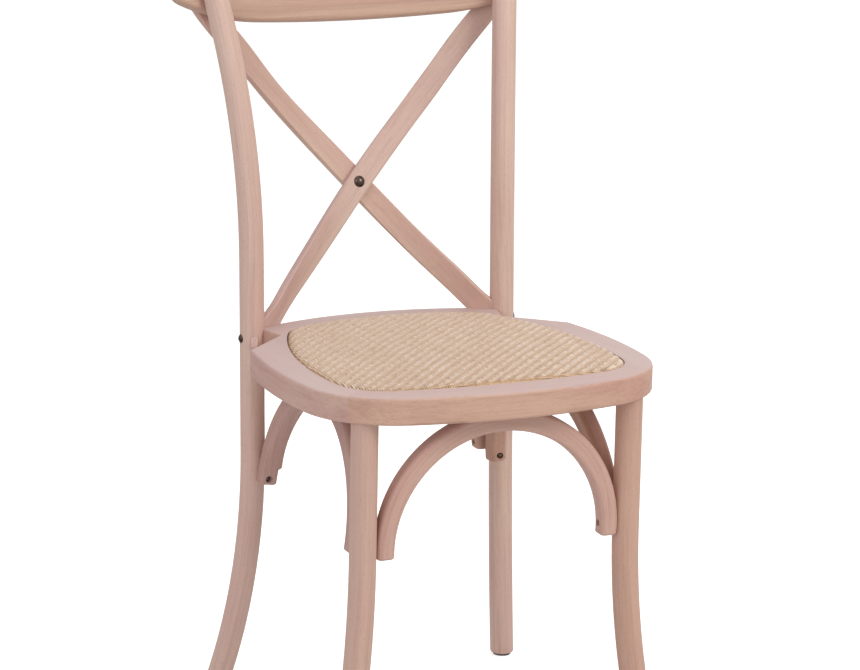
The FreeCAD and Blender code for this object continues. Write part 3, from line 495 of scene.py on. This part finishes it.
def weave():
    draw = random.Random(7)
    columns = int((pad_high.x - pad_low.x) / PITCH) + 1
    rows = int((pad_high.y - pad_low.y) / PITCH) + 1
    middle = (pad_low + pad_high) / 2
    vertices, quads, caps, runs = [], [], [], []
    base = 0
    for family in (0, 1):
        count = (columns, rows)[family]
        other = (rows, columns)[family]
        low, high = ((pad_low.y, pad_high.y), (pad_low.x, pad_high.x))[family]
        for k in range(count):
            jitter = draw.uniform(-1, 1) * PLACE_JITTER
            fixed = (k + 0.5 - count / 2) * PITCH + (middle.x, middle.y)[family] + jitter
            place = (lambda t, c=fixed: (c, t)) if family == 0 else (lambda t, c=fixed: (t, c))
            noise = [draw.uniform(-1, 1) * HEIGHT_JITTER for _ in range(other)]

            def lift(n):
                warp, weft = (k, n) if family == 0 else (n, k)
                over = ((warp - weft) % (2 * FLOAT)) < FLOAT
                return WAVE * (1 if over == (family == 0) else -1) + noise[n]

            width = STRAND_WIDTH * draw.uniform(0.92, 1.06)
            tone = draw.random()
            path = strand_path(place, low, high, other, lift)
            if path is None:
                continue
            across = ((1, 0, 0), (0, 1, 0))[family]
            rings = strand_sections(path, place, across, width, STRAND_THICK, (-1, 1)[family])
            made, ends = strand_mesh(rings, base)
            vertices.append(rings.reshape(-1, 3))
            quads.append(made)
            caps += ends
            length = np.concatenate([[0], np.cumsum(np.linalg.norm(np.diff(rings[:, 4], axis=0), axis=1))])
            run = np.zeros(rings.shape)
            run[:, :, 0] = length[:, None]
            run[:, :, 1] = np.array([u for u, v in SECTION])[None, :]
            run[:, :, 2] = tone + family * 2
            runs.append(run.reshape(-1, 3))
            base += rings.shape[0] * rings.shape[1]
    mesh = bpy.data.meshes.new("rattan_weave")
    points = np.concatenate(vertices)
    faces = [tuple(q) for q in np.concatenate(quads).tolist()] + [tuple(c) for c in caps]
    mesh.from_pydata(points.tolist(), [], faces)
    mesh.update()
    layer = mesh.attributes.new("strand", "FLOAT_VECTOR", "POINT")
    layer.data.foreach_set("vector", np.concatenate(runs).astype(np.float32).ravel())
    mesh.shade_smooth()
    piece = bpy.data.objects.new("rattan_weave", mesh)
    scene.collection.objects.link(piece)
    return piece


def rattan():
    g = Graph("rattan")
    strand = g.add("ShaderNodeAttribute", {"attribute_name": "strand"}).outputs["Vector"]
    split = g.add("ShaderNodeSeparateXYZ", Vector=strand)
    run, across, tone = split.outputs
    hair = g.noise(g.vector(g.times(run, 90.0), g.times(across, 7.0), g.times(tone, 57.0)), 1.0, 2.0, 0.6, 1.0)
    slow = g.noise(g.vector(g.times(run, 14.0), 0.0, g.times(tone, 91.0)), 1.0, 2.0, 0.5, 4.0)
    spot = g.noise(g.vector(g.times(run, 160.0), g.times(across, 2.0), g.times(tone, 133.0)), 1.0, 1.0, 0.5, 7.0)
    base = g.mix(g.ease(slow, 0.30, 0.72), colour(238, 223, 212), colour(216, 193, 174))
    weft = g.ease(tone, 1.4, 1.6)
    base = g.mix(g.times(weft, 0.6), base, colour(192, 163, 144))
    base = g.mix(g.ease(hair, 0.45, 0.72, 0.0, 0.55), base, colour(188, 154, 128))
    base = g.mix(g.ease(spot, 0.60, 0.70, 0.0, 0.7), base, colour(152, 110, 80))
    # Painted light: strands that turn down over the rim are mixed towards gold, standing in for warm light on the
    # rolled edge.
    rim_painted_light = g.ease(g.normal_z(), 0.93, 0.6, 0.0, 0.6)
    base = g.mix(rim_painted_light, base, colour(226, 184, 130))
    g.put(g.shader.inputs["Base Color"], base)
    g.put(g.shader.inputs["Roughness"], g.ease(hair, 0.3, 0.7, 0.42, 0.6))
    g.shader.inputs["Specular IOR Level"].default_value = 0.4
    g.put(g.shader.inputs["Normal"], g.bump(hair, 0.0001, 0.3))
    return g.material


def pad_core():
    """Body under the strands, the pad's own form drawn in a little; its dark colour is painted shade, seen in the
    gaps between strands.
    """
    source = nodes["rattan_pad"].data
    mesh = source.copy()
    mesh.name = "rattan_shade_core"
    middle = (pad_low + pad_high) / 2
    shrink_x = 1 - CORE_INSET / (pad_high.x - pad_low.x) * 2
    shrink_y = 1 - CORE_INSET / (pad_high.y - pad_low.y) * 2
    for vertex in mesh.vertices:
        offset = vertex.co - middle
        vertex.co.x = middle.x + offset.x * shrink_x
        vertex.co.y = middle.y + offset.y * shrink_y
        if vertex.co.z > pad_low.z + CORE_FOOT:
            vertex.co.z -= CORE_DROP
    mesh.materials.clear()
    piece = bpy.data.objects.new("rattan_shade_core", mesh)
    scene.collection.objects.link(piece)
    return piece


def core_shade_material():
    g = Graph("rattan_shade_core")
    cloud = g.noise(g.place, 300.0, 2.0, 0.5, 3.0)
    # Painted shade: the dark brown of the body stands in for the shade between and under the strands.
    g.put(g.shader.inputs["Base Color"], g.mix(cloud, colour(150, 112, 78), colour(112, 80, 54)))
    g.shader.inputs["Roughness"].default_value = 0.85
    g.put(g.shader.inputs["Normal"], g.bump(cloud, 0.0005, 0.5))
    return g.material


woven = weave()
woven.data.materials.append(rattan())
core = pad_core()
core.data.materials.append(core_shade_material())
for piece in (woven, core):
    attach(piece, "root")
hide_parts("rattan_pad")


# Floor, light and world

FLOOR_REACH = 60.0
FLOOR_GLOW = 0.62
WORLD_LIGHT = 0.55
LAMPS = (
    ("key", (1.6, -2.4, 2.6), 2.0, 54.0, (1.0, 0.985, 0.90)),
    ("fill", (-2.6, -1.6, 1.8), 2.4, 22.0, (0.98, 0.95, 1.0)),
    ("top", (0.2, 0.9, 3.2), 2.0, 17.0, (0.96, 0.98, 1.0)),
)


def floor():
    mesh = bpy.data.meshes.new("floor")
    corners = [(x * FLOOR_REACH, y * FLOOR_REACH, 0) for x, y in ((-1, -1), (1, -1), (1, 1), (-1, 1))]
    mesh.from_pydata(corners, [], [(0, 1, 2, 3)])
    piece = bpy.data.objects.new("floor", mesh)
    scene.collection.objects.link(piece)
    g = Graph("floor")
    g.shader.inputs["Base Color"].default_value = (0.80, 0.80, 0.80, 1.0)
    g.shader.inputs["Roughness"].default_value = 0.9
    g.shader.inputs["Specular IOR Level"].default_value = 0.0
    g.shader.inputs["Emission Color"].default_value = (1, 1, 1, 1)
    seen = g.add("ShaderNodeLightPath").outputs["Is Camera Ray"]
    g.put(g.shader.inputs["Emission Strength"], g.times(seen, FLOOR_GLOW))
    mesh.materials.append(g.material)


def world():
    scene.world = bpy.data.worlds.new("world")
    scene.world.use_nodes = True
    tree = scene.world.node_tree
    tree.nodes.clear()
    path = tree.nodes.new("ShaderNodeLightPath")
    seen = tree.nodes.new("ShaderNodeMath")
    seen.operation = "MAXIMUM"
    tree.links.new(path.outputs["Is Camera Ray"], seen.inputs[0])
    tree.links.new(path.outputs["Is Glossy Ray"], seen.inputs[1])
    direct = tree.nodes.new("ShaderNodeMath")
    direct.operation = "MAXIMUM"
    tree.links.new(seen.outputs[0], direct.inputs[0])
    tree.links.new(path.outputs["Is Transmission Ray"], direct.inputs[1])
    level = tree.nodes.new("ShaderNodeMapRange")
    tree.links.new(direct.outputs[0], level.inputs["Value"])
    level.inputs["To Min"].default_value = WORLD_LIGHT
    level.inputs["To Max"].default_value = 1.0
    back = tree.nodes.new("ShaderNodeBackground")
    tree.links.new(level.outputs[0], back.inputs["Strength"])
    out = tree.nodes.new("ShaderNodeOutputWorld")
    tree.links.new(back.outputs[0], out.inputs["Surface"])
    back.inputs["Color"].default_value = (1, 1, 1, 1)


def lamps():
    for name, place, size, power, tint in LAMPS:
        data = bpy.data.lights.new(name, "AREA")
        data.shape = "DISK"
        data.size = size
        data.energy = power
        data.color = tint
        lamp = bpy.data.objects.new(name, data)
        lamp.location = place
        aim = Vector((0, 0, 0.45)) - Vector(place)
        lamp.rotation_euler = aim.to_track_quat("-Z", "Y").to_euler()
        scene.collection.objects.link(lamp)


floor()
world()
lamps()
scene.view_settings.view_transform = "Standard"
